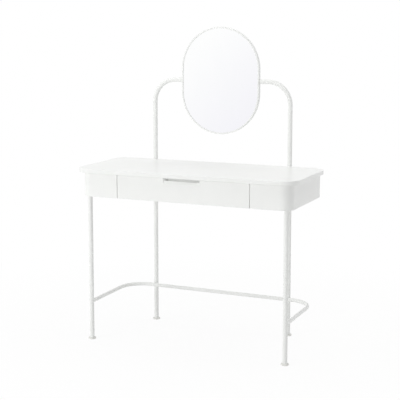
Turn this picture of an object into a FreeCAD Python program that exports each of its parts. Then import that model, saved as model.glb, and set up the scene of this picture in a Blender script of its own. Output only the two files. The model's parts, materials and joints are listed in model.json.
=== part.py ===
import FreeCAD, Part
import math
import os

V = FreeCAD.Vector
X = V(1, 0, 0)
Y = V(0, 1, 0)
Z = V(0, 0, 1)

# A dressing table: a board top on a shallow case with one drawer, on tube legs.
# The rear legs go on above the top as posts, and a mirror tilts between them.
# Millimetres. The front faces -Y and +Z is up. The origin is on the floor, below
# the middle of the object's outer box. Right is +X, as the user sees it.

# Table top: a painted board with four rounded corners.
TABLE_H = 760.0
TOP_W = 1000.0
TOP_D = 430.0
TOP_T = 18.0
TOP_CORNER_R = 68.0
TOP_EDGE_R = 2.0

# Case under the top: bent side panels, a back, a bottom and two partitions.
CASE_H = 104.0
SIDE_OVERHANG = 24.0
FRONT_OVERHANG = 22.0
CASE_FRONT_R = 46.0
CASE_BACK_R = 33.0
SHELL_T = 12.0
BOTTOM_T = 15.0
PARTITION_T = 12.0
GLUE_GAP = 0.2
EASED_EDGE_R = 1.5

# Drawer: a front with a finger pull, and a box of four thin boards.
DRAWER_OPENING_W = 604.0
DRAWER_SIDE_GAP = 2.0
DRAWER_TOP_GAP = 2.0
DRAWER_FRONT_T = 22.0
DRAWER_REAR_ROOM = 28.0
DRAWER_LIFT = 12.0
DRAWER_SIDE_H = 60.0
DRAWER_SIDE_T = 12.0
DRAWER_BACK_DROP = 5.0
DRAWER_FLOOR_T = 3.0
FLOOR_LIFT = 8.0
GROOVE_DEPTH = 5.0
GROOVE_CLEAR = 0.1
NOTCH_CLEAR = 1.5

# Finger pull, milled in the front's top edge: a bevelled lip, a groove, a thin wall, splayed ends.
PULL_W = 169.0
PULL_LIP_DROP = 12.0
PULL_LIP_T = 7.0
PULL_LIP_R = 1.5
PULL_SLOPE_DEG = 70.0
PULL_ROUND_R = 12.0
PULL_GROOVE_DEPTH = 13.0
PULL_WALL_T = 4.0
PULL_END_RUN = 15.0

# Roller runners between each partition and the drawer's side.
RUNNER_SPACE = 12.7
RUNNER_DEPTH = 10.0
RUNNER_LIFT = 7.0
RUNNER_SHORT = 10.0
RUNNER_FRONT_GAP = 3.0
STEEL_T = 1.2
RUN_CLEAR = 1.0
ROLL_CLEAR = 0.3
ROLLER_R = 8.0
ROLLER_ROOM = 4.3
ROLLER_SIDE_GAP = 0.8
ROLLER_FROM_END = 15.0
RIVET_R = 2.0
RIVET_HEAD_R = 3.5
RIVET_HEAD_T = 1.0
RIVET_GAP = 0.3
RUN_FIT = 0.08
RAIL_WEB_LAND = 14.0
RUNNER_SCREW_FROM_END = 40.0

# Tubes of the legs, the mirror posts and the foot rail.
TUBE_OD = 20.0
TUBE_WALL = 1.5
PRESS_GAP = 0.05
POST_GAP = 1.5
POST_FROM_PARTITION = 11.0
POST_BEND_R = 100.0
LEG_CORNER_DEG = 44.0
FOOT_RAIL_OD = 16.0
FOOT_RAIL_WALL = 1.5
FOOT_RAIL_Z = 168.0
FOOT_RAIL_PAST_LEG = 21.0
FOOT_RAIL_GAP = 0.3
WELD_GAP = 0.1

# Feet: low discs on threaded stems, screwed into plugs in the tubes.
FOOT_OD = 34.0
FOOT_T = 6.0
FOOT_EDGE_R = 2.0
FOOT_SEAT_GAP = 0.2
FOOT_STEM_R = 4.0
FOOT_STEM_L = 30.0
FOOT_PLUG_L = 22.0

# Front leg fixing: a plug in the tube, a stud and an insert in the bottom panel.
LEG_PLUG_L = 25.0
STUD_R = 4.0
STUD_DOWN = 24.0
INSERT_OD = 12.0
INSERT_L = 13.0
INSERT_WALL = 3.2
STUD_END_ROOM = 0.5

# Rear leg fixing: a spigot across the joint, with one bolt into each tube.
SPIGOT_L = 90.0
POST_BOLT_SPREAD = 56.0
SADDLE_SIZE = 16.0
SADDLE_WRAP = 4.0
BOLT_R = 3.0
BOLT_HEAD_R = 6.0
BOLT_HEAD_T = 4.0
BOLT_HOLE_CLEAR = 0.2
BOLT_PAST_AXIS = 5.0

# Foot rail fixing: welded spigots in front, bolts and nuts at the rear legs.
RAIL_SPIGOT_L = 35.0
GRUB_R = 2.5
GRUB_L = 5.0
GRUB_FROM_LEG = 20.0
RAIL_NUT_R = 5.0
RAIL_NUT_L = 8.0

# Wood screws, dowels and brackets.
SCREW_R = 1.75
SCREW_HEAD_R = 3.5
SCREW_HEAD_T = 2.0
FLAT_HEAD_T = 1.2
SCREW_FIT = 0.05
SCREW_IN_BOARD = 10.0
SCREW_IN_TOP = 13.0
CASE_SCREW_L = 40.0
CASE_SCREWS_PAST_RUNNER_SCREWS = (22.25, 15.75, 9.25)
DOWEL_R = 3.0
DOWEL_HALF_L = 10.0
DOWEL_FROM_EDGE = 18.0
BRACKET_LEG = 22.0
BRACKET_W = 16.0
BRACKET_T = 2.0
BRACKET_HOLE_AT = 13.0
BRACKET_FROM_PARTITION = 50.0
FLOOR_SCREW_PITCH = 180.0

# Mirror: a rim of stadium outline round a glass and its backing board.
MIRROR_W = 368.0
MIRROR_H = 474.0
MIRROR_GAP = 127.0
RIM_DEPTH = 18.0
RIM_WALL = 2.5
RIM_LIP_W = 6.0
RIM_LIP_T = 2.5
RIM_EDGE_R = 0.8
GLASS_T = 3.0
BACKING_T = 3.0
MIRROR_FIT = 0.3
CLIP_L = 10.0
CLIP_W = 12.0
CLIP_T = 1.2
CLIP_GAP = 0.15
CLIP_TURNS_DEG = (30.0, 90.0, 150.0)
PIVOT_R = 3.0
PIVOT_IN_BUSH = 12.0
PIVOT_PLATE_T = 4.0
PIVOT_PLATE_H = 30.0
PIVOT_GAP = 0.2
BUSH_L = 15.0
BUSH_FLANGE_T = 2.0

# Places that follow from the sizes above.
TOP_UNDER_Z = TABLE_H - TOP_T
CASE_BOTTOM_Z = TOP_UNDER_Z - CASE_H
CASE_FLOOR_Z = CASE_BOTTOM_Z + BOTTOM_T
OVERALL_D = TOP_D + POST_GAP + TUBE_OD / 2 + FOOT_OD / 2
TOP_FRONT_Y = -OVERALL_D / 2
CASE_BACK_Y = TOP_FRONT_Y + TOP_D
CASE_FRONT_Y = TOP_FRONT_Y + FRONT_OVERHANG
CASE_HALF_W = TOP_W / 2 - SIDE_OVERHANG
FRONT_INNER_Y = CASE_FRONT_Y + SHELL_T
BACK_INNER_Y = CASE_BACK_Y - SHELL_T
BACK_HALF_W = CASE_HALF_W - CASE_BACK_R
PARTITION_X = DRAWER_OPENING_W / 2
PARTITION_MID_X = PARTITION_X + PARTITION_T / 2
PARTITION_OUT_X = PARTITION_X + PARTITION_T

TUBE_R = TUBE_OD / 2
TUBE_INNER_R = TUBE_R - TUBE_WALL
REAR_LEG_X = PARTITION_OUT_X + POST_FROM_PARTITION
REAR_LEG_Y = CASE_BACK_Y + POST_GAP + TUBE_R
LEG_FROM_RIM = SHELL_T + INSERT_OD / 2 + INSERT_WALL
LEG_CORNER = math.radians(LEG_CORNER_DEG)
FRONT_LEG_X = CASE_HALF_W - CASE_FRONT_R + (CASE_FRONT_R - LEG_FROM_RIM) * math.cos(LEG_CORNER)
FRONT_LEG_Y = CASE_FRONT_Y + CASE_FRONT_R - (CASE_FRONT_R - LEG_FROM_RIM) * math.sin(LEG_CORNER)
LEG_BOTTOM_Z = FOOT_T + FOOT_SEAT_GAP
JOINT_Z = CASE_BOTTOM_Z + CASE_H / 2
POST_BOLT_ZS = (JOINT_Z - POST_BOLT_SPREAD / 2, JOINT_Z + POST_BOLT_SPREAD / 2)
LEG_PLACES = {
    "front_left": (-FRONT_LEG_X, FRONT_LEG_Y),
    "front_right": (FRONT_LEG_X, FRONT_LEG_Y),
    "rear_left": (-REAR_LEG_X, REAR_LEG_Y),
    "rear_right": (REAR_LEG_X, REAR_LEG_Y),
}

FOOT_RAIL_R = FOOT_RAIL_OD / 2
FOOT_RAIL_INNER_R = FOOT_RAIL_R - FOOT_RAIL_WALL
FOOT_RAIL_BACK_Y = REAR_LEG_Y - TUBE_R - FOOT_RAIL_R - FOOT_RAIL_GAP
FOOT_RAIL_BEND_R = FRONT_LEG_X - REAR_LEG_X - FOOT_RAIL_PAST_LEG

DRAWER_HALF_W = PARTITION_X - DRAWER_SIDE_GAP
DRAWER_TOP_Z = TOP_UNDER_Z - DRAWER_TOP_GAP
DRAWER_START_Y = CASE_FRONT_Y + DRAWER_FRONT_T
DRAWER_END_Y = BACK_INNER_Y - DRAWER_REAR_ROOM
DRAWER_BACK_MID_Y = DRAWER_END_Y - DRAWER_SIDE_T / 2
BOX_X = PARTITION_X - RUNNER_SPACE
BOX_INNER_X = BOX_X - DRAWER_SIDE_T
SIDE_BOTTOM_Z = CASE_FLOOR_Z + DRAWER_LIFT
SIDE_TOP_Z = SIDE_BOTTOM_Z + DRAWER_SIDE_H
FLOOR_Z = SIDE_BOTTOM_Z + FLOOR_LIFT
FLOOR_TOP_Z = FLOOR_Z + DRAWER_FLOOR_T
DRAWER_DOWEL_ZS = (SIDE_BOTTOM_Z + DOWEL_FROM_EDGE, SIDE_TOP_Z - DOWEL_FROM_EDGE)

RUNNER_Z = CASE_FLOOR_Z + RUNNER_LIFT
ROLLER_Z = RUNNER_Z + STEEL_T + ROLL_CLEAR + ROLLER_R
RAIL_FLANGE_Z = ROLLER_Z + ROLLER_R + ROLL_CLEAR
RUNNER_TOP_Z = RAIL_FLANGE_Z + STEEL_T + RUN_CLEAR + STEEL_T
RAIL_WEB_TOP_Z = RAIL_FLANGE_Z + STEEL_T + RAIL_WEB_LAND
RAIL_SCREW_Z = RAIL_FLANGE_Z + STEEL_T + RAIL_WEB_LAND / 2
RUNNER_START_Y = DRAWER_START_Y + RUNNER_FRONT_GAP
RUNNER_END_Y = DRAWER_END_Y - RUNNER_SHORT
RUNNER_MID_Y = (RUNNER_START_Y + RUNNER_END_Y) / 2
RUNNER_SCREW_YS = (
    RUNNER_START_Y + RUNNER_SCREW_FROM_END,
    RUNNER_MID_Y,
    RUNNER_END_Y - RUNNER_SCREW_FROM_END,
)
CASE_SCREW_YS = [y + d for y, d in zip(RUNNER_SCREW_YS, CASE_SCREWS_PAST_RUNNER_SCREWS)]
ROLLER_W = RUNNER_SPACE - 2 * STEEL_T - ROLLER_ROOM
FRONT_ROLLER_Y = RUNNER_START_Y + ROLLER_FROM_END
REAR_ROLLER_Y = RUNNER_END_Y - ROLLER_FROM_END

PIVOT_Z = TABLE_H + MIRROR_GAP + MIRROR_H / 2
RIM_FILLED = RIM_LIP_T + GLASS_T + BACKING_T
RIM_FRONT_Y = REAR_LEG_Y - (RIM_FILLED + RIM_DEPTH) / 2
RIM_BACK_Y = RIM_FRONT_Y + RIM_DEPTH
BACKING_BACK_Y = RIM_FRONT_Y + RIM_FILLED
MIRROR_HALF_W = MIRROR_W / 2
MIRROR_HALF_H = MIRROR_H / 2
POST_END_X = MIRROR_HALF_W + PIVOT_GAP + BUSH_FLANGE_T


# Small makers used by every piece.
def box(x0, x1, y0, y1, z0, z1):
    return Part.makeBox(x1 - x0, y1 - y0, z1 - z0, V(x0, y0, z0))


def rod(radius, start, way, length):
    return Part.makeCylinder(radius, length, start, way)


def ring(outer_r, inner_r, start, way, length):
    return rod(outer_r, start, way, length).cut(rod(inner_r, start, way, length))


def joined(first, *others):
    return first.fuse(list(others)).removeSplitter()


def mirrored(shape):
    return shape.mirror(V(0, 0, 0), X)


def both_sides(shapes):
    return list(shapes) + [mirrored(shape) for shape in shapes]


def on_plane(edge, axis, value, tolerance=0.01):
    low = getattr(edge.BoundBox, axis + "Min")
    high = getattr(edge.BoundBox, axis + "Max")
    return abs(low - value) < tolerance and abs(high - value) < tolerance


def plan_arc(centre, radius, start_deg):
    circle = Part.Circle(V(centre[0], centre[1], 0), Z, radius)
    start = math.radians(start_deg)
    return Part.ArcOfCircle(circle, start, start + math.pi / 2).toShape()


def plan_outline(half_w, y_front, y_back, r_front, r_back):
    """A rectangle with rounded corners, seen from above, as one face."""
    corners = (
        ((half_w - r_front, y_front + r_front), r_front, -90),
        ((half_w - r_back, y_back - r_back), r_back, 0),
        ((r_back - half_w, y_back - r_back), r_back, 90),
        ((r_front - half_w, y_front + r_front), r_front, 180),
    )
    arcs = [plan_arc(*corner) for corner in corners]
    edges = []
    for arc, following in zip(arcs, arcs[1:] + arcs[:1]):
        edges.append(arc)
        edges.append(Part.makeLine(arc.lastVertex().Point, following.firstVertex().Point))
    return Part.Face(Part.Wire(edges))


def plan_board(face, z0, z1):
    board = face.extrude(V(0, 0, z1 - z0))
    board.translate(V(0, 0, z0))
    return board


def stadium_board(half_w, half_h, y0, y1):
    """A board in the mirror's outline: straight sides and half-round ends."""
    rise = half_h - half_w
    right_top = V(half_w, 0, rise)
    left_top = V(-half_w, 0, rise)
    left_low = V(-half_w, 0, -rise)
    right_low = V(half_w, 0, -rise)
    edges = [
        Part.makeLine(right_low, right_top),
        Part.Arc(right_top, V(0, 0, half_h), left_top).toShape(),
        Part.makeLine(left_top, left_low),
        Part.Arc(left_low, V(0, 0, -half_h), right_low).toShape(),
    ]
    board = Part.Face(Part.Wire(edges)).extrude(V(0, y1 - y0, 0))
    board.translate(V(0, y0, PIVOT_Z))
    return board


def swept(path, radius):
    start = path.Edges[0].firstVertex().Point
    way = path.Edges[0].tangentAt(path.Edges[0].FirstParameter)
    profile = Part.Wire(Part.makeCircle(radius, start, way))
    return path.makePipeShell([profile], True, False)


def bent_tube(name, edges, outer_r, inner_r):
    path = Part.Wire(edges)
    tube = swept(path, outer_r).cut(swept(path, inner_r))
    expected = math.pi * (outer_r ** 2 - inner_r ** 2) * path.Length
    print(name, "volume over expected", round(tube.Volume / expected, 5))
    return tube


def screw(at, way, shank_r, length, head_r, head_t):
    """A head that sits on the point, and a shank that goes on along the way."""
    head = rod(head_r, at - way * head_t, way, head_t)
    return joined(head, rod(shank_r, at, way, length))


def wood_screw(at, way, length, head_t=SCREW_HEAD_T):
    return screw(at, way, SCREW_R, length, SCREW_HEAD_R, head_t)


def wood_screw_hole(at, way, length):
    return rod(SCREW_R + SCREW_FIT, at, way, length)


def bolt_hole(at, way, length):
    return rod(BOLT_R + BOLT_HOLE_CLEAR, at, way, length)


def save(name, *solids):
    shape = solids[0] if len(solids) == 1 else Part.makeCompound(list(solids))
    for solid in shape.Solids:
        assert solid.isValid() and solid.Volume > 0, name
    shape.exportStep(os.path.join("parts", name + ".step"))
    print(name, len(shape.Solids), "solids", round(shape.Volume / 1000, 2), "cm3")


def save_pair(name, right):
    save(name + "_right", right)
    save(name + "_left", mirrored(right))


os.makedirs("parts", exist_ok=True)

# Brackets that hold the top on the case, at the back, the front and the sides.
BRACKET_X = PARTITION_OUT_X + BRACKET_FROM_PARTITION
BRACKET_SEATS = (
    (V(BRACKET_X, BACK_INNER_Y, TOP_UNDER_Z), 0),
    (V(BRACKET_X, FRONT_INNER_Y, TOP_UNDER_Z), 180),
    (V(CASE_HALF_W - SHELL_T, 0, TOP_UNDER_Z), -90),
)


def seated(shape, seat):
    """Turns a shape made against a wall at +Y and moves it to a bracket's seat."""
    point, turn = seat
    placed = shape.copy()
    placed.rotate(V(0, 0, 0), Z, turn)
    placed.translate(point)
    return placed


def at_seats(shape):
    return both_sides([seated(shape, seat) for seat in BRACKET_SEATS])


half_bracket = BRACKET_W / 2
wall_hole_at = V(0, -BRACKET_T, -BRACKET_HOLE_AT)
top_hole_at = V(0, -BRACKET_HOLE_AT, -BRACKET_T)
bracket = joined(
    box(-half_bracket, half_bracket, -BRACKET_T, 0, -BRACKET_LEG, 0),
    box(-half_bracket, half_bracket, -BRACKET_LEG, 0, -BRACKET_T, 0),
)
wall_screw = wood_screw(wall_hole_at, Y, BRACKET_T + SCREW_IN_BOARD)
top_screw = wood_screw(top_hole_at, Z, BRACKET_T + SCREW_IN_TOP)
wall_screw_hole = wood_screw_hole(wall_hole_at, Y, BRACKET_T + SCREW_IN_BOARD)
top_screw_hole = wood_screw_hole(top_hole_at, Z, BRACKET_T + SCREW_IN_TOP)
bracket = bracket.cut([wall_screw_hole, top_screw_hole])
wall_screw_holes = at_seats(wall_screw_hole)
save("top_brackets", *at_seats(bracket))
save("bracket_screws", *at_seats(wall_screw), *at_seats(top_screw))

# Table top.
top_outline = plan_outline(TOP_W / 2, TOP_FRONT_Y, CASE_BACK_Y, TOP_CORNER_R, TOP_CORNER_R)
table_top = plan_board(top_outline, TOP_UNDER_Z, TABLE_H)
rim_edges = [e for e in table_top.Edges if on_plane(e, "Z", TABLE_H) or on_plane(e, "Z", TOP_UNDER_Z)]
table_top = table_top.makeFillet(TOP_EDGE_R, rim_edges)
save("table_top", table_top.cut(at_seats(top_screw_hole)))

# Bolts, spigots and saddles that hold the rear legs and the mirror posts.
POST_BOLT_L = REAR_LEG_Y + BOLT_PAST_AXIS - BACK_INNER_Y
post_bolt_seats = [V(REAR_LEG_X, BACK_INNER_Y, z) for z in POST_BOLT_ZS]
post_bolts = [screw(p, Y, BOLT_R, POST_BOLT_L, BOLT_HEAD_R, BOLT_HEAD_T) for p in post_bolt_seats]
post_bolt_holes = [bolt_hole(p, Y, REAR_LEG_Y - BACK_INNER_Y) for p in post_bolt_seats]
post_bolt_threads = [rod(BOLT_R + SCREW_FIT, p, Y, POST_BOLT_L) for p in post_bolt_seats]
spigot_start = V(REAR_LEG_X, REAR_LEG_Y, JOINT_Z - SPIGOT_L / 2)
spigot = rod(TUBE_INNER_R - PRESS_GAP, spigot_start, Z, SPIGOT_L).cut(post_bolt_threads)
half_saddle = SADDLE_SIZE / 2
post_axis = rod(TUBE_R + WELD_GAP, V(REAR_LEG_X, REAR_LEG_Y, CASE_BOTTOM_Z), Z, CASE_H)
saddles = []
for z in POST_BOLT_ZS:
    block = box(
        REAR_LEG_X - half_saddle,
        REAR_LEG_X + half_saddle,
        CASE_BACK_Y,
        CASE_BACK_Y + POST_GAP + SADDLE_WRAP,
        z - half_saddle,
        z + half_saddle,
    )
    saddles.append(block.cut([post_axis] + post_bolt_holes))
save("post_bolts", *both_sides(post_bolts))
save("post_spigots", *both_sides([spigot]))
save("post_saddles", *both_sides(saddles))

# Screws of the case: up into the partitions, and forward into their back edges.
case_screw_seats = [(V(PARTITION_MID_X, y, CASE_BOTTOM_Z), Z) for y in CASE_SCREW_YS]
case_screw_seats += [(V(PARTITION_MID_X, CASE_BACK_Y, z), -Y) for z in POST_BOLT_ZS]
case_screws = [
    wood_screw(at + way * FLAT_HEAD_T, way, CASE_SCREW_L, FLAT_HEAD_T) for at, way in case_screw_seats
]
case_screw_holes = []
for at, way in case_screw_seats:
    case_screw_holes.append(rod(SCREW_HEAD_R + SCREW_FIT, at, way, FLAT_HEAD_T))
    case_screw_holes.append(wood_screw_hole(at, way, FLAT_HEAD_T + CASE_SCREW_L))
save("case_screws", *both_sides(case_screws))

# Dowels of the case: fixed front sections to partitions, back panel to side panels.
case_dowel_zs = (CASE_FLOOR_Z + DOWEL_FROM_EDGE, TOP_UNDER_Z - DOWEL_FROM_EDGE)
case_dowel_lines = []
for z in case_dowel_zs:
    front_start = V(PARTITION_MID_X, FRONT_INNER_Y - SHELL_T / 2, z)
    back_start = V(BACK_HALF_W - DOWEL_HALF_L, CASE_BACK_Y - SHELL_T / 2, z)
    case_dowel_lines.append((front_start, Y))
    case_dowel_lines.append((back_start, X))
case_dowels = [rod(DOWEL_R, at, way, 2 * DOWEL_HALF_L) for at, way in case_dowel_lines]
case_dowel_holes = [
    rod(DOWEL_R + SCREW_FIT, at, way, 2 * DOWEL_HALF_L) for at, way in case_dowel_lines
]
save("case_dowels", *both_sides(case_dowels))

# Front leg fixings, and the threaded inserts in the bottom panel.
leg_top = V(FRONT_LEG_X, FRONT_LEG_Y, CASE_BOTTOM_Z)
stud_start = leg_top - Z * STUD_DOWN
stud_l = STUD_DOWN + INSERT_L - STUD_END_ROOM
stud_hole = rod(STUD_R + SCREW_FIT, stud_start, Z, stud_l + STUD_END_ROOM)
leg_plug = rod(TUBE_INNER_R - PRESS_GAP, leg_top - Z * LEG_PLUG_L, Z, LEG_PLUG_L).cut(stud_hole)
insert = rod(INSERT_OD / 2, leg_top, Z, INSERT_L).cut(stud_hole)
insert_hole = rod(INSERT_OD / 2 + SCREW_FIT, leg_top, Z, INSERT_L)
save("front_leg_studs", *both_sides([rod(STUD_R, stud_start, Z, stud_l)]))
save("front_leg_plugs", *both_sides([leg_plug]))
save("panel_inserts", *both_sides([insert]))


# Case boards. The bent side panels share one outline with the bottom panel.
def case_outline(inset):
    return plan_outline(
        CASE_HALF_W - inset,
        CASE_FRONT_Y + inset,
        CASE_BACK_Y - inset,
        CASE_FRONT_R - inset,
        CASE_BACK_R - inset,
    )


def side_panel():
    outer = plan_board(case_outline(0), CASE_BOTTOM_Z, TOP_UNDER_Z)
    low_edges = [e for e in outer.Edges if on_plane(e, "Z", CASE_BOTTOM_Z)]
    outer = outer.makeFillet(EASED_EDGE_R, low_edges)
    hollow = plan_board(case_outline(SHELL_T), CASE_BOTTOM_Z, TOP_UNDER_Z)
    middle = box(-PARTITION_X, PARTITION_X, CASE_FRONT_Y, CASE_BACK_Y, CASE_BOTTOM_Z, TOP_UNDER_Z)
    back = box(-BACK_HALF_W, BACK_HALF_W, BACK_INNER_Y, CASE_BACK_Y, CASE_BOTTOM_Z, TOP_UNDER_Z)
    left = box(-CASE_HALF_W, 0, CASE_FRONT_Y, CASE_BACK_Y, CASE_BOTTOM_Z, TOP_UNDER_Z)
    panel = outer.cut([hollow, middle, back, left])
    return panel.cut(case_dowel_holes + wall_screw_holes)


bottom_panel = plan_board(case_outline(SHELL_T + GLUE_GAP), CASE_BOTTOM_Z, CASE_FLOOR_Z)
front_notch = box(
    -PARTITION_X,
    PARTITION_X,
    CASE_FRONT_Y,
    DRAWER_START_Y + NOTCH_CLEAR,
    CASE_BOTTOM_Z,
    CASE_FLOOR_Z,
)
back_panel = box(-BACK_HALF_W, BACK_HALF_W, BACK_INNER_Y, CASE_BACK_Y, CASE_BOTTOM_Z, TOP_UNDER_Z)
back_holes = case_screw_holes + case_dowel_holes + post_bolt_holes
back_panel = back_panel.cut(both_sides(back_holes) + wall_screw_holes)
partition = box(
    PARTITION_X, PARTITION_OUT_X, FRONT_INNER_Y, BACK_INNER_Y, CASE_FLOOR_Z, TOP_UNDER_Z
)

# Runner screws and rivets, which the partitions and the drawer sides are bored for.
runner_screw_seats = [V(PARTITION_X - STEEL_T, y, ROLLER_Z) for y in RUNNER_SCREW_YS]
rail_screw_seats = [V(BOX_X + STEEL_T, y, RAIL_SCREW_Z) for y in RUNNER_SCREW_YS]
runner_screws = [wood_screw(p, X, SCREW_IN_BOARD, FLAT_HEAD_T) for p in runner_screw_seats]
rail_screws = [wood_screw(p, -X, SCREW_IN_BOARD, FLAT_HEAD_T) for p in rail_screw_seats]
runner_screw_holes = [wood_screw_hole(p, X, SCREW_IN_BOARD) for p in runner_screw_seats]
rail_screw_holes = [wood_screw_hole(p, -X, SCREW_IN_BOARD) for p in rail_screw_seats]

save_pair("side_panel", side_panel())
save("bottom_panel", bottom_panel.cut([front_notch] + both_sides(case_screw_holes + [insert_hole])))
save("back_panel", back_panel)
save_pair("partition", partition.cut(case_screw_holes + case_dowel_holes + runner_screw_holes))
save("runner_screws", *both_sides(runner_screws))
save("drawer_rail_screws", *both_sides(rail_screws))


# Roller runners. A fixed channel holds the front roller, a drawer rail the rear one.
def runner_rivet(start, way):
    """A rivet through a steel web, with a head that keeps its roller on."""
    length = STEEL_T + ROLLER_SIDE_GAP + ROLLER_W + RIVET_GAP
    head = rod(RIVET_HEAD_R, start + way * length, way, RIVET_HEAD_T)
    return joined(rod(RIVET_R, start, way, length), head)


def roller(web_face, way):
    start = web_face + way * ROLLER_SIDE_GAP
    return ring(ROLLER_R, RIVET_R + RUN_FIT, start, way, ROLLER_W)


channel_web = box(
    PARTITION_X - STEEL_T, PARTITION_X, RUNNER_START_Y, RUNNER_END_Y, RUNNER_Z, RUNNER_TOP_Z
)
channel_x = PARTITION_X - RUNNER_DEPTH
channel_low = box(
    channel_x, PARTITION_X, RUNNER_START_Y, RUNNER_END_Y, RUNNER_Z, RUNNER_Z + STEEL_T
)
channel_high = box(
    channel_x, PARTITION_X, RUNNER_START_Y, RUNNER_END_Y, RUNNER_TOP_Z - STEEL_T, RUNNER_TOP_Z
)
front_rivet_at = V(PARTITION_X, FRONT_ROLLER_Y, ROLLER_Z)
rear_rivet_at = V(BOX_X, REAR_ROLLER_Y, ROLLER_Z)
front_rivet_hole = rod(RIVET_R + SCREW_FIT, front_rivet_at, -X, STEEL_T)
rear_rivet_hole = rod(RIVET_R + SCREW_FIT, rear_rivet_at, X, STEEL_T)
channel = joined(channel_web, channel_low, channel_high)
save_pair("runner", channel.cut(runner_screw_holes + [front_rivet_hole]))
save("front_roller_rivets", *both_sides([runner_rivet(front_rivet_at, -X)]))
save_pair("front_roller", roller(front_rivet_at - X * STEEL_T, -X))

rail_web = box(
    BOX_X,
    BOX_X + STEEL_T,
    RUNNER_START_Y,
    RUNNER_END_Y,
    SIDE_BOTTOM_Z - STEEL_T,
    RAIL_WEB_TOP_Z,
)
rail_flange = box(
    BOX_X,
    BOX_X + RUNNER_DEPTH,
    RUNNER_START_Y,
    RUNNER_END_Y,
    RAIL_FLANGE_Z,
    RAIL_FLANGE_Z + STEEL_T,
)
rail_foot = box(
    BOX_INNER_X,
    BOX_X + STEEL_T,
    RUNNER_START_Y,
    RUNNER_END_Y,
    SIDE_BOTTOM_Z - STEEL_T,
    SIDE_BOTTOM_Z,
)
drawer_rail = joined(rail_web, rail_flange, rail_foot)
save_pair("drawer_rail", drawer_rail.cut(rail_screw_holes + [rear_rivet_hole]))
save("rear_roller_rivets", *both_sides([runner_rivet(rear_rivet_at, X)]))
save_pair("rear_roller", roller(rear_rivet_at + X * STEEL_T, X))


# Drawer.
def pull_cutter():
    """The space over the pull's lip and in the groove behind it, narrower towards the back."""
    slope = math.radians(PULL_SLOPE_DEG)
    along = V(0, math.cos(slope), math.sin(slope))
    lip_z = DRAWER_TOP_Z - PULL_LIP_DROP
    lip_centre = V(0, CASE_FRONT_Y + PULL_LIP_T - PULL_LIP_R, lip_z - PULL_LIP_R)
    lip_front = lip_centre + V(0, -math.sin(slope), math.cos(slope)) * PULL_LIP_R
    lip_top = lip_centre + Z * PULL_LIP_R
    lip_back = lip_centre + Y * PULL_LIP_R
    foot = lip_front - along * ((lip_front.y - CASE_FRONT_Y) / math.cos(slope))
    foot_turn = math.pi / 2 - slope
    foot_run = PULL_ROUND_R * math.tan(foot_turn / 2)
    foot_low = foot - Z * foot_run
    foot_high = foot + along * foot_run
    foot_centre = foot_low + Y * PULL_ROUND_R
    foot_mid = foot_centre + V(0, -math.cos(foot_turn / 2), math.sin(foot_turn / 2)) * PULL_ROUND_R
    groove_r = (DRAWER_FRONT_T - PULL_LIP_T - PULL_WALL_T) / 2
    groove_low = V(0, lip_back.y + groove_r, lip_z - PULL_GROOVE_DEPTH)
    groove_front = groove_low + V(0, -groove_r, groove_r)
    groove_back = groove_low + V(0, groove_r, groove_r)
    front_top = V(0, CASE_FRONT_Y, TOP_UNDER_Z)
    back_top = V(0, groove_back.y, TOP_UNDER_Z)
    edges = [
        Part.makeLine(front_top, foot_low),
        Part.Arc(foot_low, foot_mid, foot_high).toShape(),
        Part.makeLine(foot_high, lip_front),
        Part.Arc(lip_front, lip_top, lip_back).toShape(),
        Part.makeLine(lip_back, groove_front),
        Part.Arc(groove_front, groove_low, groove_back).toShape(),
        Part.makeLine(groove_back, back_top),
        Part.makeLine(back_top, front_top),
    ]
    cutter = Part.Face(Part.Wire(edges)).extrude(V(PULL_W, 0, 0))
    cutter.translate(V(-PULL_W / 2, 0, 0))
    plan = [
        V(-PULL_W / 2, front_top.y, 0),
        V(PULL_W / 2, front_top.y, 0),
        V(PULL_W / 2 - PULL_END_RUN, back_top.y, 0),
        V(PULL_END_RUN - PULL_W / 2, back_top.y, 0),
    ]
    splay = Part.Face(Part.makePolygon(plan + plan[:1])).extrude(Z * TOP_UNDER_Z)
    return cutter.common(splay)


groove_x = BOX_INNER_X + GROOVE_DEPTH
floor_groove = box(
    -groove_x,
    groove_x,
    DRAWER_START_Y - GROOVE_DEPTH,
    DRAWER_END_Y,
    FLOOR_Z - GROOVE_CLEAR,
    FLOOR_TOP_Z + GROOVE_CLEAR,
)
drawer_dowel_starts = [
    V(BOX_X - DRAWER_SIDE_T / 2, DRAWER_START_Y - DOWEL_HALF_L, z) for z in DRAWER_DOWEL_ZS
]
drawer_dowels = [rod(DOWEL_R, p, Y, 2 * DOWEL_HALF_L) for p in drawer_dowel_starts]
drawer_dowel_holes = [rod(DOWEL_R + SCREW_FIT, p, Y, 2 * DOWEL_HALF_L) for p in drawer_dowel_starts]

back_top_z = SIDE_TOP_Z - DRAWER_BACK_DROP
back_low_z = FLOOR_TOP_Z + GROOVE_CLEAR
corner_screw_zs = (RAIL_WEB_TOP_Z + 2 * SCREW_HEAD_R, back_top_z - 2 * SCREW_HEAD_R)
corner_screw_seats = [V(BOX_X, DRAWER_BACK_MID_Y, z) for z in corner_screw_zs]
corner_screw_l = DRAWER_SIDE_T + 2 * SCREW_IN_BOARD
corner_screws = [wood_screw(p, -X, corner_screw_l) for p in corner_screw_seats]
corner_screw_holes = [wood_screw_hole(p, -X, corner_screw_l) for p in corner_screw_seats]
floor_screw_seats = [V(i * FLOOR_SCREW_PITCH, DRAWER_BACK_MID_Y, FLOOR_Z) for i in (-1, 0, 1)]
floor_screw_l = DRAWER_FLOOR_T + 2 * SCREW_IN_BOARD
floor_screws = [wood_screw(p, Z, floor_screw_l) for p in floor_screw_seats]
floor_screw_holes = [wood_screw_hole(p, Z, floor_screw_l) for p in floor_screw_seats]

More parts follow.
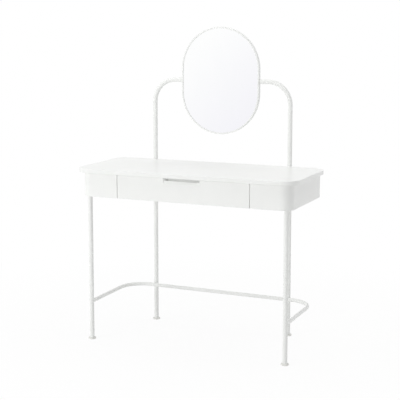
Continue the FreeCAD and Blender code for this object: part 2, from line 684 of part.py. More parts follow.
drawer_front = box(
    -DRAWER_HALF_W, DRAWER_HALF_W, CASE_FRONT_Y, DRAWER_START_Y, CASE_BOTTOM_Z, DRAWER_TOP_Z
)
front_edges = [e for e in drawer_front.Edges if on_plane(e, "Y", CASE_FRONT_Y)]
drawer_front = drawer_front.makeFillet(EASED_EDGE_R, front_edges)
drawer_front = drawer_front.cut([pull_cutter(), floor_groove] + both_sides(drawer_dowel_holes))
drawer_side = box(BOX_INNER_X, BOX_X, DRAWER_START_Y, DRAWER_END_Y, SIDE_BOTTOM_Z, SIDE_TOP_Z)
side_holes = drawer_dowel_holes + corner_screw_holes + rail_screw_holes
drawer_back = box(
    -BOX_INNER_X, BOX_INNER_X, DRAWER_END_Y - DRAWER_SIDE_T, DRAWER_END_Y, back_low_z, back_top_z
)
floor_x = groove_x - GLUE_GAP
drawer_floor = box(
    -floor_x,
    floor_x,
    DRAWER_START_Y - GROOVE_DEPTH + GLUE_GAP,
    DRAWER_END_Y,
    FLOOR_Z,
    FLOOR_TOP_Z,
)
save("drawer_front", drawer_front)
save_pair("drawer_side", drawer_side.cut([floor_groove] + side_holes))
save("drawer_back", drawer_back.cut(both_sides(corner_screw_holes) + floor_screw_holes))
save("drawer_floor", drawer_floor.cut(floor_screw_holes))
save("drawer_dowels", *both_sides(drawer_dowels))
save("drawer_screws", *both_sides(corner_screws), *floor_screws)

# Foot rail: a U of tube that butts on the front legs and passes inside the rear legs.
rail_z = FOOT_RAIL_Z
bend = FOOT_RAIL_BEND_R
bend_y = FOOT_RAIL_BACK_Y - bend
bend_x = FRONT_LEG_X - bend
bend_mid = bend * math.sqrt(0.5)
rail_ends = [V(FRONT_LEG_X, FRONT_LEG_Y, rail_z), V(FRONT_LEG_X, bend_y, rail_z)]
rail_back = V(bend_x, FOOT_RAIL_BACK_Y, rail_z)
right_mid = V(bend_x + bend_mid, bend_y + bend_mid, rail_z)
left = [V(-p.x, p.y, p.z) for p in (rail_ends[0], rail_ends[1], rail_back, right_mid)]
rail_edges = [
    Part.makeLine(rail_ends[0], rail_ends[1]),
    Part.Arc(rail_ends[1], right_mid, rail_back).toShape(),
    Part.makeLine(rail_back, left[2]),
    Part.Arc(left[2], left[3], left[1]).toShape(),
    Part.makeLine(left[1], left[0]),
]
leg_cope = rod(TUBE_R + WELD_GAP, V(FRONT_LEG_X, FRONT_LEG_Y, 0), Z, CASE_BOTTOM_Z)
grub_start = V(FRONT_LEG_X, FRONT_LEG_Y + TUBE_R + GRUB_FROM_LEG, rail_z - FOOT_RAIL_R)
grub_hole = rod(GRUB_R + SCREW_FIT, grub_start, Z, GRUB_L)
rail_bolt_at = V(REAR_LEG_X, REAR_LEG_Y + TUBE_R, rail_z)
rail_nut_at = V(REAR_LEG_X, FOOT_RAIL_BACK_Y - RAIL_NUT_L / 2, rail_z)
rail_bolt_l = rail_bolt_at.y - rail_nut_at.y
rail_bolt_hole = bolt_hole(rail_bolt_at, -Y, rail_bolt_l)
rail_nut_hole = rod(BOLT_R + SCREW_FIT, rail_nut_at, Y, RAIL_NUT_L)
foot_rail = bent_tube("foot_rail", rail_edges, FOOT_RAIL_R, FOOT_RAIL_INNER_R)
foot_rail = foot_rail.cut(both_sides([leg_cope, grub_hole, rail_bolt_hole]))
rail_spigot = rod(FOOT_RAIL_INNER_R - PRESS_GAP, rail_ends[0], Y, TUBE_R + RAIL_SPIGOT_L)
rail_spigot = rail_spigot.cut([leg_cope, grub_hole])
save("foot_rail", foot_rail)
save("foot_rail_spigots", *both_sides([rail_spigot]))
save("foot_rail_grub_screws", *both_sides([rod(GRUB_R, grub_start, Z, GRUB_L)]))
rail_bolt = screw(rail_bolt_at, -Y, BOLT_R, rail_bolt_l, BOLT_HEAD_R, BOLT_HEAD_T)
save("foot_rail_bolts", *both_sides([rail_bolt]))
rail_nut = rod(RAIL_NUT_R, rail_nut_at, Y, RAIL_NUT_L).cut(rail_nut_hole)
save("foot_rail_nuts", *both_sides([rail_nut]))

# Legs, and the mirror posts that carry on from the rear legs.
front_leg = ring(
    TUBE_R,
    TUBE_INNER_R,
    V(FRONT_LEG_X, FRONT_LEG_Y, LEG_BOTTOM_Z),
    Z,
    CASE_BOTTOM_Z - LEG_BOTTOM_Z,
)
rear_leg = ring(
    TUBE_R, TUBE_INNER_R, V(REAR_LEG_X, REAR_LEG_Y, LEG_BOTTOM_Z), Z, JOINT_Z - LEG_BOTTOM_Z
)
save_pair("front_leg", front_leg)
save_pair("rear_leg", rear_leg.cut(post_bolt_holes + [rail_bolt_hole]))

post_start = V(REAR_LEG_X, REAR_LEG_Y, JOINT_Z)
post_bend_low = V(REAR_LEG_X, REAR_LEG_Y, PIVOT_Z - POST_BEND_R)
post_bend_high = V(REAR_LEG_X - POST_BEND_R, REAR_LEG_Y, PIVOT_Z)
post_bend_mid = post_bend_low + V(math.sqrt(0.5) - 1, 0, math.sqrt(0.5)) * POST_BEND_R
post_end = V(POST_END_X, REAR_LEG_Y, PIVOT_Z)
post_edges = [
    Part.makeLine(post_start, post_bend_low),
    Part.Arc(post_bend_low, post_bend_mid, post_bend_high).toShape(),
    Part.makeLine(post_bend_high, post_end),
]
post = bent_tube("mirror_post", post_edges, TUBE_R, TUBE_INNER_R)
save_pair("mirror_post", post.cut(post_bolt_holes))

# Feet and the threaded plugs that they screw into.
foot_disc_profile = Part.makeCylinder(FOOT_OD / 2, FOOT_T)
foot_disc_edges = [
    e for e in foot_disc_profile.Edges if on_plane(e, "Z", 0) or on_plane(e, "Z", FOOT_T)
]
foot_disc = foot_disc_profile.makeFillet(FOOT_EDGE_R, foot_disc_edges)
foot = joined(foot_disc, rod(FOOT_STEM_R, V(0, 0, FOOT_T), Z, FOOT_STEM_L))
foot_plug = ring(
    TUBE_INNER_R - PRESS_GAP, FOOT_STEM_R + RUN_FIT, V(0, 0, LEG_BOTTOM_Z), Z, FOOT_PLUG_L
)
for place, (x, y) in LEG_PLACES.items():
    save("foot_" + place, foot.translated(V(x, y, 0)))
save("foot_plugs", *[foot_plug.translated(V(x, y, 0)) for x, y in LEG_PLACES.values()])

# Mirror. The rim is an angle section with its lip in front of the glass.
inner_w = MIRROR_HALF_W - RIM_WALL
inner_h = MIRROR_HALF_H - RIM_WALL
pivot_axis_at = V(inner_w, REAR_LEG_Y, PIVOT_Z)
pivot_hole = rod(PIVOT_R + SCREW_FIT, pivot_axis_at, X, RIM_WALL)
rim = stadium_board(MIRROR_HALF_W, MIRROR_HALF_H, RIM_FRONT_Y, RIM_BACK_Y)
rim_front_edges = [e for e in rim.Edges if on_plane(e, "Y", RIM_FRONT_Y)]
rim = rim.makeFillet(RIM_EDGE_R, rim_front_edges)
rim_pocket = stadium_board(inner_w, inner_h, RIM_FRONT_Y + RIM_LIP_T, RIM_BACK_Y)
rim_window = stadium_board(
    MIRROR_HALF_W - RIM_LIP_W,
    MIRROR_HALF_H - RIM_LIP_W,
    RIM_FRONT_Y,
    RIM_FRONT_Y + RIM_LIP_T,
)
save("mirror_rim", rim.cut([rim_pocket, rim_window] + both_sides([pivot_hole])))

glass_back_y = RIM_FRONT_Y + RIM_LIP_T + GLASS_T
pane_w = inner_w - MIRROR_FIT
pane_h = inner_h - MIRROR_FIT
save("mirror_glass", stadium_board(pane_w, pane_h, RIM_FRONT_Y + RIM_LIP_T, glass_back_y))
save("mirror_backing", stadium_board(pane_w, pane_h, glass_back_y, BACKING_BACK_Y))

clip_out = inner_w - CLIP_GAP
half_clip = CLIP_W / 2
clip = box(clip_out - CLIP_L, clip_out, BACKING_BACK_Y, BACKING_BACK_Y + CLIP_T, -half_clip, half_clip)
end_rise = MIRROR_HALF_H - MIRROR_HALF_W
clips = []
for end in (1, -1):
    for turn in CLIP_TURNS_DEG:
        placed = clip.copy()
        placed.rotate(V(0, 0, 0), -Y, end * turn)
        placed.translate(V(0, 0, PIVOT_Z + end * end_rise))
        clips.append(placed)
save("backing_clips", *clips)

# Pivots on the mirror, and the friction bushes in the ends of the posts.
plate_depth = RIM_BACK_Y - BACKING_BACK_Y - 2 * GLUE_GAP
pivot_plate = box(
    inner_w - PIVOT_PLATE_T,
    inner_w,
    REAR_LEG_Y - plate_depth / 2,
    REAR_LEG_Y + plate_depth / 2,
    PIVOT_Z - PIVOT_PLATE_H / 2,
    PIVOT_Z + PIVOT_PLATE_H / 2,
)
pivot_l = POST_END_X + PIVOT_IN_BUSH - inner_w
save_pair("mirror_pivot", joined(pivot_plate, rod(PIVOT_R, pivot_axis_at, X, pivot_l)))

bush_start = V(MIRROR_HALF_W + PIVOT_GAP, REAR_LEG_Y, PIVOT_Z)
bush_l = BUSH_FLANGE_T + BUSH_L
bush = joined(
    rod(TUBE_R, bush_start, X, BUSH_FLANGE_T),
    rod(TUBE_INNER_R - PRESS_GAP, bush_start, X, bush_l),
)
save("pivot_bushes", *both_sides([bush.cut(rod(PIVOT_R + RUN_FIT, bush_start, X, bush_l))]))
print("overall depth", OVERALL_D, "front leg", FRONT_LEG_X, FRONT_LEG_Y)
print("rear leg", REAR_LEG_X, REAR_LEG_Y)
print("pivot height", PIVOT_Z, "case bottom", CASE_BOTTOM_Z, "case front", CASE_FRONT_Y)
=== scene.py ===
# %% [markdown]
# # A white dressing table with a tilting mirror
# The table is a lacquered board top on a shallow case with one drawer. Round steel tubes carry it,
# and the two rear tubes go on upwards to hold the mirror. The solid pieces come from the CAD model,
# so this lesson is about what a camera sees: finishes, small made details, light and a camera.

# %% Load the frame and measure it
import json
import math

import bmesh
import bpy
from mathutils import Matrix, Vector


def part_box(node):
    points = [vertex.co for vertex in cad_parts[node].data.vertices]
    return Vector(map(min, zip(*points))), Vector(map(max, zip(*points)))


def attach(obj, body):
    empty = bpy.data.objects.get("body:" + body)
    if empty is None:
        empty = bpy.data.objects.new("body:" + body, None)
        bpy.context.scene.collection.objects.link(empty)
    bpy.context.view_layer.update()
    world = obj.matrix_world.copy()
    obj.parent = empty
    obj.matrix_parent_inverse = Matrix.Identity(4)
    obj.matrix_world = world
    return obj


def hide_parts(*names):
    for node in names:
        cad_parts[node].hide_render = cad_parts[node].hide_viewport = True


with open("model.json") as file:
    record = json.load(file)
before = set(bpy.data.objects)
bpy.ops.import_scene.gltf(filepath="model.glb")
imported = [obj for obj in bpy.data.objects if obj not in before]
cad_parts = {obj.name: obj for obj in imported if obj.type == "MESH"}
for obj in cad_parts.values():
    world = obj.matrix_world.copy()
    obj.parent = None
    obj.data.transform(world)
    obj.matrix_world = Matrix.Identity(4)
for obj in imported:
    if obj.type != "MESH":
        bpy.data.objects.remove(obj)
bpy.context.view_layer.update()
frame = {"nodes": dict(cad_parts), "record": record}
nodes = frame["nodes"]
scene = bpy.context.scene
scene.view_settings.view_transform = "Standard"
MM = 0.001

# %% [markdown]
# ## Helpers for every finish
# A colour is written as people pick it, in sRGB hex, and Blender's shaders want it linear, so one
# function converts it. Another adds a node, sets it up and links it, which keeps a finish short.
# Pattern sizes are thought of in millimetres, and a noise texture wants repeats per metre.
#
# No real surface is the same all over. Where it is a little thinner or more worn, its colour and
# its gloss change together, so one pattern drives both. A relief can come from a second pattern.


# %% Colour, node and scale helpers
def linear(text):
    """A colour such as #f5f6f4 as linear red, green, blue and alpha."""
    parts = [int(text[i : i + 2], 16) / 255 for i in (1, 3, 5)]
    bent = [p / 12.92 if p <= 0.04045 else ((p + 0.055) / 1.055) ** 2.4 for p in parts]
    return (*bent, 1.0)


def add(tree, kind, inputs=(), **settings):
    """A node with its settings, whose inputs get a value or a link from another node."""
    node = tree.nodes.new(kind)
    for key, value in settings.items():
        setattr(node, key, value)
    for key, value in dict(inputs).items():
        if isinstance(value, bpy.types.NodeSocket):
            tree.links.new(value, node.inputs[key])
        else:
            node.inputs[key].default_value = value
    return node


def per_metre(size_mm):
    return 1 / (size_mm * MM)


print("white lacquer in linear light", [round(v, 3) for v in linear("#f5f6f4")])


# %% A finish that follows a pattern
def new_finish(name, fixed=()):
    """A material whose shader has some sockets set to one value all over."""
    material = bpy.data.materials.new(name)
    material.use_nodes = True
    tree = material.node_tree
    shader = tree.nodes["Principled BSDF"]
    for key, value in dict(fixed).items():
        shader.inputs[key].default_value = value
    place = add(tree, "ShaderNodeTexCoord").outputs["Object"]
    return material, tree, shader, place


def follow(tree, shader, pattern, colours, roughness, relief=None, depth_mm=0.0, strength=0.5):
    """Let a pattern from 0 to 1 drive colour and roughness, and a relief raise the surface."""
    tint = add(
        tree,
        "ShaderNodeMix",
        {"Factor": pattern, "A": linear(colours[0]), "B": linear(colours[1])},
        data_type="RGBA",
    )
    gloss = add(
        tree,
        "ShaderNodeMapRange",
        {"Value": pattern, "To Min": roughness[0], "To Max": roughness[1]},
    )
    tree.links.new(tint.outputs["Result"], shader.inputs["Base Color"])
    tree.links.new(gloss.outputs["Result"], shader.inputs["Roughness"])
    if relief is not None:
        bump = add(
            tree,
            "ShaderNodeBump",
            {"Height": relief, "Strength": strength, "Distance": depth_mm * MM},
        )
        tree.links.new(bump.outputs["Normal"], shader.inputs["Normal"])


# %% [markdown]
# ## Painted, coated and moulded whites
# Nearly all that shows is white, so the finishes have to differ in gloss and grain, not in hue.
# Spray lacquer levels out and is left with a shallow peel some millimetres wide. Powder coat melts
# on the tube into tighter peel. Foil and nylon are duller. All are one idea: a base colour that
# drifts slightly, a roughness that drifts with it and a fine bump, so one function makes them all.
# The peel is drawn two or three times as coarse as it is, because it wouldn't show from this far.


# %% White finishes made of drift, peel and gloss
def white_finish(name, colours, roughness, drift_mm, peel_mm, depth_mm, coat=0.0):
    material, tree, shader, place = new_finish(
        name, {"IOR": 1.5, "Coat Weight": coat, "Coat Roughness": 0.12}
    )
    drift = add(
        tree,
        "ShaderNodeTexNoise",
        {"Vector": place, "Scale": per_metre(drift_mm), "Detail": 3.0, "Roughness": 0.55},
    )
    peel = add(
        tree,
        "ShaderNodeTexNoise",
        {"Vector": place, "Scale": per_metre(peel_mm), "Detail": 2.0, "Roughness": 0.5},
    )
    follow(tree, shader, drift.outputs["Fac"], colours, roughness, peel.outputs["Fac"], depth_mm)
    print("made", name)
    return material


lacquered_fibreboard = white_finish(
    "white satin lacquer sprayed on fibreboard",
    colours=("#f5f6f4", "#f0f1ef"),
    roughness=(0.30, 0.40),
    drift_mm=90.0,
    peel_mm=7.0,
    depth_mm=0.03,
    coat=0.2,
)
powder_coated_steel = white_finish(
    "white powder coat baked on steel tube",
    colours=("#f4f5f3", "#eeefed"),
    roughness=(0.34, 0.44),
    drift_mm=60.0,
    peel_mm=2.5,
    depth_mm=0.01,
)
foil_wrapped_board = white_finish(
    "white foil pressed on drawer board",
    colours=("#ecebe8", "#e4e3df"),
    roughness=(0.48, 0.58),
    drift_mm=25.0,
    peel_mm=1.5,
    depth_mm=0.03,
)
moulded_nylon = white_finish(
    "white nylon moulded with a spark-eroded grain",
    colours=("#ecece8", "#e2e2de"),
    roughness=(0.42, 0.52),
    drift_mm=12.0,
    peel_mm=0.8,
    depth_mm=0.03,
)

# %% [markdown]
# ## Zinc on the screws, bolts and brackets
# Bright zinc plating is a thin grey metal with a bluish cast. It shows faint cloudy patches from
# the bath and fine scratches from tumbling in a drum. A cloud noise sets the tint and the
# roughness, and a noise drawn out one way makes the scratches.

# %% Bright zinc plate, tumbled
CLOUD_MM = 6.0
SCRATCH_MM = 0.6
zinc_plated_steel, tree, shader, place = new_finish(
    "bright zinc plate, tumbled", {"Metallic": 1.0}
)
cloud = add(
    tree, "ShaderNodeTexNoise", {"Vector": place, "Scale": per_metre(CLOUD_MM), "Detail": 4.0}
)
stretch = add(
    tree,
    "ShaderNodeMapping",
    {"Vector": place, "Rotation": (0.4, 0.3, 0), "Scale": (1.0, 1.0, 0.08)},
)
scratch = add(
    tree,
    "ShaderNodeTexNoise",
    {"Vector": stretch.outputs["Vector"], "Scale": per_metre(SCRATCH_MM), "Detail": 3.0},
)
follow(
    tree,
    shader,
    cloud.outputs["Fac"],
    colours=("#c3c7cb", "#d9dad8"),
    roughness=(0.2, 0.44),
    relief=scratch.outputs["Fac"],
    depth_mm=0.02,
    strength=0.35,
)
print("made", zinc_plated_steel.name)

# %% [markdown]
# ## The looking glass
# A mirror is clear float glass with silver behind it, so what shows is whatever stands in front. A
# full glass sheet would cost many light bounces and give the same picture, so the pane is treated
# as one polished metal. A wiped pane still has faint cloudy streaks, which is a roughness that
# drifts a little, and the silver is a touch cooler in places.

# %% Silvered float glass, wiped clean
STREAK_MM = 45.0
silvered_glass, tree, shader, place = new_finish(
    "silvered float glass, wiped clean", {"Metallic": 1.0}
)
wipe = add(
    tree,
    "ShaderNodeMapping",
    {"Vector": place, "Rotation": (0, 0.6, 0), "Scale": (1.0, 1.0, 0.3)},
)
streak = add(
    tree,
    "ShaderNodeTexNoise",
    {
        "Vector": wipe.outputs["Vector"],
        "Scale": per_metre(STREAK_MM),
        "Detail": 3.0,
        "Distortion": 0.6,
    },
)
follow(
    tree,
    shader,
    streak.outputs["Fac"],
    colours=("#ffffff", "#fcfdfd"),
    roughness=(0.01, 0.035),
)
print("made", silvered_glass.name)

# %% [markdown]
# ## Hardboard and beech
# The drawer's floor and the mirror's backing are thin hardboard, painted white on the face that
# shows: the pressed wood fibres still give a fine woolly relief and a few darker flecks. The dowels
# are bare beech, with short dark flecks along the grain.

# %% Painted hardboard
FIBRE_MM = 4.0
painted_hardboard, tree, shader, place = new_finish("hardboard pressed from fibre, painted white")
fibre = add(
    tree,
    "ShaderNodeTexNoise",
    {
        "Vector": place,
        "Scale": per_metre(FIBRE_MM),
        "Detail": 6.0,
        "Roughness": 0.7,
        "Distortion": 1.2,
    },
)
follow(
    tree,
    shader,
    fibre.outputs["Fac"],
    colours=("#e9e7e2", "#dcd9d2"),
    roughness=(0.5, 0.75),
    relief=fibre.outputs["Fac"],
    depth_mm=0.1,
)
print("made", painted_hardboard.name)

# %% Bare beech
GRAIN_MM = 18.0
turned_beech, tree, shader, place = new_finish("beech, turned and left bare")
grain = add(
    tree,
    "ShaderNodeTexWave",
    {
        "Vector": place,
        "Scale": per_metre(GRAIN_MM),
        "Distortion": 3.0,
        "Detail": 3.0,
        "Detail Scale": 2.0,
    },
)
follow(
    tree,
    shader,
    grain.outputs["Fac"],
    colours=("#dcc29c", "#c9a778"),
    roughness=(0.55, 0.7),
)
print("made", turned_beech.name)

# %% [markdown]
# ## Give each solid its finish
# The record names a finish slot for every solid, so the finishes are handed out by slot.

# %% Hand out the finishes
slot_finish = {
    "painted_board": lacquered_fibreboard,
    "coated_steel": powder_coated_steel,
    "drawer_board": foil_wrapped_board,
    "white_nylon": moulded_nylon,
    "zinc_steel": zinc_plated_steel,
    "mirror_glass": silvered_glass,
    "hardboard": painted_hardboard,
    "beech_dowel": turned_beech,
}
slot_of = {part["node"]: part["material_slot"] for part in frame["record"]["subparts"]}
for name, piece in nodes.items():
    piece.data.materials.clear()
    piece.data.materials.append(slot_finish[slot_of[name]])
print("solids with a finish", len(slot_of))

# %% [markdown]
# ## Screws and bolts with a drive
# In the CAD model each screw is a rod with a plain round head. The real ones show what a tool fits
# into. The bolts of the foot rail have a domed head with a six-sided socket, the case screws lie
# flush and have a cross, and the screws of the drawer rails have a low rounded head with a cross.
# A boolean cut could make these, and it leaves untidy faces. Here each one is a stack of rings with
# the same number of points, joined face by face. A ring can be round, six-sided or a cross, so the
# socket is the same stack going back down. Threads are left out, because they are inside board and
# tube.

# %% Stack rings into a closed mesh
SHARP_DEG = 35


def lofted(work, rings):
    """Join rings into a tube and close each end with a fan, which leaves no slivers on a cross."""
    rows = [[work.verts.new(point) for point in ring] for ring in rings]
    count = len(rows[0])
    for near, far in zip(rows, rows[1:]):
        for i in range(count):
            j = (i + 1) % count
            work.faces.new((near[i], near[j], far[j], far[i]))
    for end in (rows[0][::-1], rows[-1]):
        hub = work.verts.new(sum((vert.co for vert in end), Vector()) / count)
        for i in range(count):
            work.faces.new((end[i], end[(i + 1) % count], hub))


def stand_in(name, work, node, body):
    """An object that is shown in place of a CAD node and moves with its body."""
    bmesh.ops.recalc_face_normals(work, faces=work.faces)
    mesh = bpy.data.meshes.new(name)
    work.to_mesh(mesh)
    work.free()
    mesh.shade_smooth()
    mesh.set_sharp_from_angle(angle=math.radians(SHARP_DEG))
    mesh.materials.append(slot_finish[slot_of[node]])
    piece = bpy.data.objects.new(name, mesh)
    scene.collection.objects.link(piece)
    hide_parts(node)
    print(name, "faces", len(mesh.polygons))
    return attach(piece, body)


# %% Rings that are round, six-sided or a cross
CROSS_ARM = 3.0
CROSS_BEND = math.atan(1 / CROSS_ARM)
TINY = 1e-6


def round_ring(_turn):
    return 1.0


def hex_ring(turn):
    return 1 / math.cos((turn + math.pi / 6) % (math.pi / 3) - math.pi / 6)


def cross_ring(turn):
    """A cross whose arms reach three times their half width."""
    turn = abs((turn + math.pi / 4) % (math.pi / 2) - math.pi / 4)
    return CROSS_ARM / math.cos(turn) if turn <= CROSS_BEND + TINY else 1 / math.sin(turn)


def fixing(work, turns, profile, at, out):
    """A stack of (ring, size, height) in mm, with height 0 on the seat and up along out."""
    place = Matrix.Translation(at) @ out.to_track_quat("Z", "Y").to_matrix().to_4x4()
    rings = []
    for ring, size, height in profile:
        reach = [(turn, ring(turn) * size * MM) for turn in turns]
        points = [Vector((r * math.cos(t), r * math.sin(t), height * MM)) for t, r in reach]
        rings.append([place @ point for point in points])
    lofted(work, rings)


# %% Socket bolts of the foot rail
BOLT_HEAD_R = 6.0
BOLT_HEAD_H = 4.0
RING_POINTS = 24
low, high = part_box("foot_rail_bolts")
bolt_l = (high.y - low.y) / MM - BOLT_HEAD_H
bolt_profile = [
    (round_ring, 2.5, -bolt_l),
    (round_ring, 3.0, 0.5 - bolt_l),
    (round_ring, 3.0, 0.0),
    (round_ring, BOLT_HEAD_R, 0.0),
    (round_ring, BOLT_HEAD_R, 0.9),
    (round_ring, 5.8, 1.7),
    (round_ring, 5.2, 2.5),
    (round_ring, 4.3, 3.2),
    (round_ring, 3.3, 3.7),
    (round_ring, 2.6, 3.8),
    (hex_ring, 2.0, 3.5),
    (hex_ring, 2.0, 1.6),
]
even_turns = [i * math.tau / RING_POINTS for i in range(RING_POINTS)]
work = bmesh.new()
for side in (-1, 1):
    x = side * (high.x - BOLT_HEAD_R * MM)
    seat = Vector((x, high.y - BOLT_HEAD_H * MM, (low.z + high.z) / 2))
    fixing(work, even_turns, bolt_profile, seat, Vector((0, 1, 0)))
stand_in("foot_rail_socket_bolts", work, "foot_rail_bolts", "frame")

# %% Cross-head screws of the case
SCREW_L = 41.2
SCREW_TIP_L = 4.0
SCREW_HEAD_R = 3.5
SCREW_YS = (-0.12, 0.0, 0.12)  # along the bottom, in metres
SCREW_ZS = (0.662, 0.718)  # up the back, in metres
low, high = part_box("case_screws")
screw_profile = [
    (round_ring, 0.3, -SCREW_L),
    (round_ring, 1.7, SCREW_TIP_L - SCREW_L),
    (round_ring, 1.7, -1.2),
    (round_ring, 3.4, -0.3),
    (round_ring, 3.4, -0.1),
    (round_ring, 3.2, 0.0),
    (cross_ring, 0.65, 0.0),
    (cross_ring, 0.55, -0.5),
    (cross_ring, 0.3, -1.8),
]
bend = (CROSS_BEND + math.pi / 4) / 2
quarter = (-CROSS_BEND, -CROSS_BEND / 2, 0, CROSS_BEND / 2, CROSS_BEND)
quarter += (bend, math.pi / 4, math.pi / 2 - bend)
cross_turns = [k * math.pi / 2 + turn for k in range(4) for turn in quarter]
work = bmesh.new()
for side in (-1, 1):
    x = side * (high.x - SCREW_HEAD_R * MM)
    for y in SCREW_YS:
        fixing(work, cross_turns, screw_profile, Vector((x, y, low.z)), Vector((0, 0, -1)))
    for z in SCREW_ZS:
        fixing(work, cross_turns, screw_profile, Vector((x, high.y, z)), Vector((0, 1, 0)))
stand_in("case_cross_screws", work, "case_screws", "frame")

# %% Cross-head screws of the drawer rails
RAIL_SCREW_L = 10.0
RAIL_TIP_L = 3.0
RAIL_HEAD_T = 1.2
low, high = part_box("drawer_rail_screws")
rail_screw_profile = [
    (round_ring, 0.3, -RAIL_SCREW_L),
    (round_ring, 1.7, RAIL_TIP_L - RAIL_SCREW_L),
    (round_ring, 1.7, 0.0),
    (round_ring, SCREW_HEAD_R, 0.0),
    (round_ring, SCREW_HEAD_R, 0.5),
    (round_ring, 3.1, 0.95),
    (round_ring, 2.4, RAIL_HEAD_T),
    (cross_ring, 0.6, RAIL_HEAD_T),
    (cross_ring, 0.5, 0.7),
    (cross_ring, 0.3, -0.5),
]
rail_screw_ys = (
    low.y + SCREW_HEAD_R * MM,
    (low.y + high.y) / 2,
    high.y - SCREW_HEAD_R * MM,
)
work = bmesh.new()
for out, x in ((Vector((-1, 0, 0)), low.x), (Vector((1, 0, 0)), high.x)):
    for y in rail_screw_ys:
        seat = Vector((x, y, (low.z + high.z) / 2)) - out * RAIL_HEAD_T * MM
        fixing(work, cross_turns, rail_screw_profile, seat, out)
stand_in("drawer_rail_cross_screws", work, "drawer_rail_screws", "drawer")

# %% [markdown]
# ## Spring clips behind the mirror
# Six clips keep the backing board in the rim. The CAD model has flat plates there. A real clip is a
# strip of spring steel: it stands up along the rim's wall, bends over and bears on the board with a
# tongue that turns up at its tip, so that it can slide on. The strip is a stack of four-cornered
# rings along that bent line, and the tongue narrows towards its tip.

# %% Bent spring clips
CLIP_T = 0.7
CLIP_GAP = 0.3  # from the board's edge to the rim's wall
CLIP_TURNS = (30, 90, 150)  # degrees round each end of the mirror
CLIP_LINE = [  # reach in from the wall, rise above the board and half width, in mm
    (0.5, 7.5, 6.0),
    (0.5, 2.4, 6.0),
    (0.7, 1.4, 6.0),
    (1.3, 0.7, 6.0),
    (2.3, 0.45, 6.0),
    (6.5, 0.4, 5.2),
    (7.6, 0.5, 4.8),
    (8.6, 0.9, 4.3),
    (9.6, 1.7, 3.6),
]
CORNERS = ((1, 1), (-1, 1), (-1, -1), (1, -1))
low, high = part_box("mirror_backing")
wall = high.x + CLIP_GAP * MM
end_rise = (high.z - low.z) / 2 - high.x
middle_z = (low.z + high.z) / 2
back = Vector((0, 1, 0))
work = bmesh.new()
for end in (-1, 1):
    for degrees in CLIP_TURNS:
        turn = math.radians(degrees)
        out = Vector((math.cos(turn), 0, end * math.sin(turn)))
        along = out.cross(back)
        start = Vector((0, high.y, middle_z + end * end_rise)) + out * wall
        line = [start + (back * rise - out * reach) * MM for reach, rise, _ in CLIP_LINE]
        rings = []
        for i, (_, _, half) in enumerate(CLIP_LINE):
            way = line[min(i + 1, len(line) - 1)] - line[max(i - 1, 0)]
            half_t = way.normalized().cross(along) * CLIP_T / 2 * MM
            half_w = along * half * MM
            rings.append([line[i] + half_w * w + half_t * t for w, t in CORNERS])
        lofted(work, rings)
stand_in("backing_spring_clips", work, "backing_clips", "mirror")

# %% [markdown]
# ## The camera
# The photograph was taken from the right and a little above, with a long lens. Its shift moves the
# picture so that the camera looks nearly level and the legs stay nearly upright.

# %% Camera
FOCAL_PX = 1041.107
FRAME_PX = 400
CAMERA_AT = (1.78712, -4.05344, 1.37409)
LOOK_DOWN = 0.130104  # radians
LOOK_LEFT = 0.41689
camera_data = bpy.data.cameras.new("camera")
camera_data.sensor_width = 36.0
camera_data.lens = FOCAL_PX / FRAME_PX * camera_data.sensor_width
camera_data.shift_y = -0.1
camera_data.clip_end = 100
camera = bpy.data.objects.new("camera", camera_data)
camera.location = CAMERA_AT
camera.rotation_euler = (math.pi / 2 - LOOK_DOWN, 0, LOOK_LEFT)
scene.collection.objects.link(camera)
scene.camera = camera
print("lens in mm", round(camera_data.lens, 1))

# %% [markdown]
# ## A white studio
# The table stands on a white floor that runs out to a white surround. To the camera, and in the
# mirror, the floor mostly shows its own white, and only a small share of it takes light and shadow,
# so a faint shadow is left under the table. That share fades out, so no horizon shows.


# %% Tell a direct look from bounced light
def seen_directly(tree):
    """1 for what the camera, a glossy surface or clear glass sees, and 0 for bounced light."""
    ray = add(tree, "ShaderNodeLightPath")
    seen = ray.outputs["Is Camera Ray"]
    for kind in ("Is Glossy Ray", "Is Transmission Ray"):
        inputs = {0: seen, 1: ray.outputs[kind]}
        seen = add(tree, "ShaderNodeMath", inputs, operation="MAXIMUM").outputs[0]
    return seen


# %% Floor
FLOOR_R = 6.0
work = bmesh.new()
bmesh.ops.create_circle(work, cap_ends=True, segments=96, radius=FLOOR_R)
floor_mesh = bpy.data.meshes.new("studio_floor")
work.to_mesh(floor_mesh)
work.free()
floor = bpy.data.objects.new("studio_floor", floor_mesh)
scene.collection.objects.link(floor)
print("floor radius in m", FLOOR_R)

# %% Floor paint
WHITE = linear("#ffffff")
OWN_WHITE = 0.9
FADE_FROM = 0.7  # metres from the middle
FADE_TO = 1.8
floor_paint = bpy.data.materials.new("matt white floor paint")
floor_paint.use_nodes = True
tree = floor_paint.node_tree
tree.nodes.clear()
seen = seen_directly(tree)
where = add(tree, "ShaderNodeTexCoord").outputs["Object"]
far = add(tree, "ShaderNodeVectorMath", {0: where}, operation="LENGTH")
own = add(
    tree,
    "ShaderNodeMapRange",
    {
        "Value": far.outputs["Value"],
        "From Min": FADE_FROM,
        "From Max": FADE_TO,
        "To Min": OWN_WHITE,
        "To Max": 1.0,
    },
    interpolation_type="SMOOTHSTEP",
)
share = add(tree, "ShaderNodeMath", {0: seen, 1: own.outputs["Result"]}, operation="MULTIPLY")
glow = add(tree, "ShaderNodeEmission", {"Color": WHITE, "Strength": 1.0})
paint = add(
    tree,
    "ShaderNodeMix",
    {"Factor": seen, "A": linear("#f0f0f0"), "B": WHITE},
    data_type="RGBA",
)
matt = add(tree, "ShaderNodeBsdfDiffuse", {"Color": paint.outputs["Result"]})
both = add(
    tree, "ShaderNodeMixShader", {0: share.outputs[0], 1: matt.outputs[0], 2: glow.outputs[0]}
)
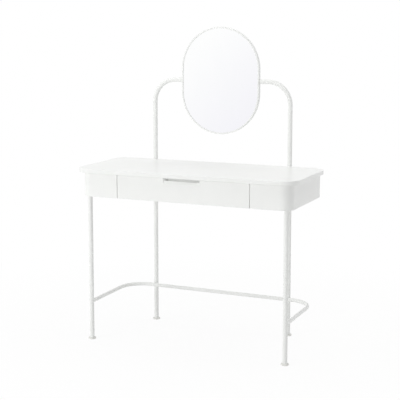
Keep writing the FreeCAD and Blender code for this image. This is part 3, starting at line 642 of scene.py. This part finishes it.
add(tree, "ShaderNodeOutputMaterial", {"Surface": both.outputs[0]})
floor_mesh.materials.append(floor_paint)
print("made", floor_paint.name)

# %% [markdown]
# ## The surround and the lamps
# A white studio sends an even light from all round, and that is the surround. The lamps then shape
# the table. A softbox in front and to the left, at the height of the eye, makes the front paler
# than the right end and reaches in under the edge of the top. A wide ceiling panel lights the top
# and the floor, and the floor sends that up again. A weak panel on the right keeps that end from
# going grey. A surround that is brighter in places could do it all without lamps, but Blender finds
# a lamp more surely than a patch of surround, so there is less grain this way. The lamps are kept
# out of reflections, as a photographer keeps them out of the glass. What the mirror faces is white
# to the left and a very pale lavender to the right, running softly across.

# %% Surround
SURROUND_LIGHT = 0.5
SWEEP_ALONG = (8.24, 0.0, -6.92)
SWEEP_FROM = -3.2
SWEEP_TO = -2.1
world = bpy.data.worlds.new("studio surround")
world.use_nodes = True
scene.world = world
tree = world.node_tree
tree.nodes.clear()
direction = add(tree, "ShaderNodeTexCoord").outputs["Generated"]
across = add(
    tree, "ShaderNodeVectorMath", {0: direction, 1: SWEEP_ALONG}, operation="DOT_PRODUCT"
)
sweep = add(
    tree,
    "ShaderNodeMapRange",
    {"Value": across.outputs["Value"], "From Min": SWEEP_FROM, "From Max": SWEEP_TO},
)
faced = add(
    tree,
    "ShaderNodeMix",
    {"Factor": sweep.outputs["Result"], "A": WHITE, "B": linear("#f3f2f8")},
    data_type="RGBA",
)
ray = add(tree, "ShaderNodeLightPath")
backdrop = add(
    tree,
    "ShaderNodeMix",
    {"Factor": ray.outputs["Is Camera Ray"], "A": faced.outputs["Result"], "B": WHITE},
    data_type="RGBA",
)
fill = add(tree, "ShaderNodeBackground", {"Color": WHITE, "Strength": SURROUND_LIGHT})
shown = add(
    tree, "ShaderNodeBackground", {"Color": backdrop.outputs["Result"], "Strength": 1.0}
)
both = add(
    tree, "ShaderNodeMixShader", {0: seen_directly(tree), 1: fill.outputs[0], 2: shown.outputs[0]}
)
add(tree, "ShaderNodeOutputWorld", {"Surface": both.outputs[0]})
print("light from the surround", SURROUND_LIGHT)

# %% Lamps
LAMPS = {  # place and width in metres, power in watts
    "softbox": ((-3.5, -5.4, 1.65), 2.0, 148),
    "ceiling panel": ((0.0, 0.0, 5.0), 6.0, 116),
    "right panel": ((4.7, 1.7, 1.2), 3.0, 24),
}
AIM = Vector((0, 0, 0.75))
for name, (place, width, power) in LAMPS.items():
    lamp_data = bpy.data.lights.new(name, "AREA")
    lamp_data.shape = "SQUARE"
    lamp_data.size = width
    lamp_data.energy = power
    lamp = bpy.data.objects.new(name, lamp_data)
    lamp.location = place
    lamp.rotation_euler = (lamp.location - AIM).to_track_quat("Z", "Y").to_euler()
    lamp.visible_glossy = False
    scene.collection.objects.link(lamp)
    print(name, width, "m wide,", power, "W")
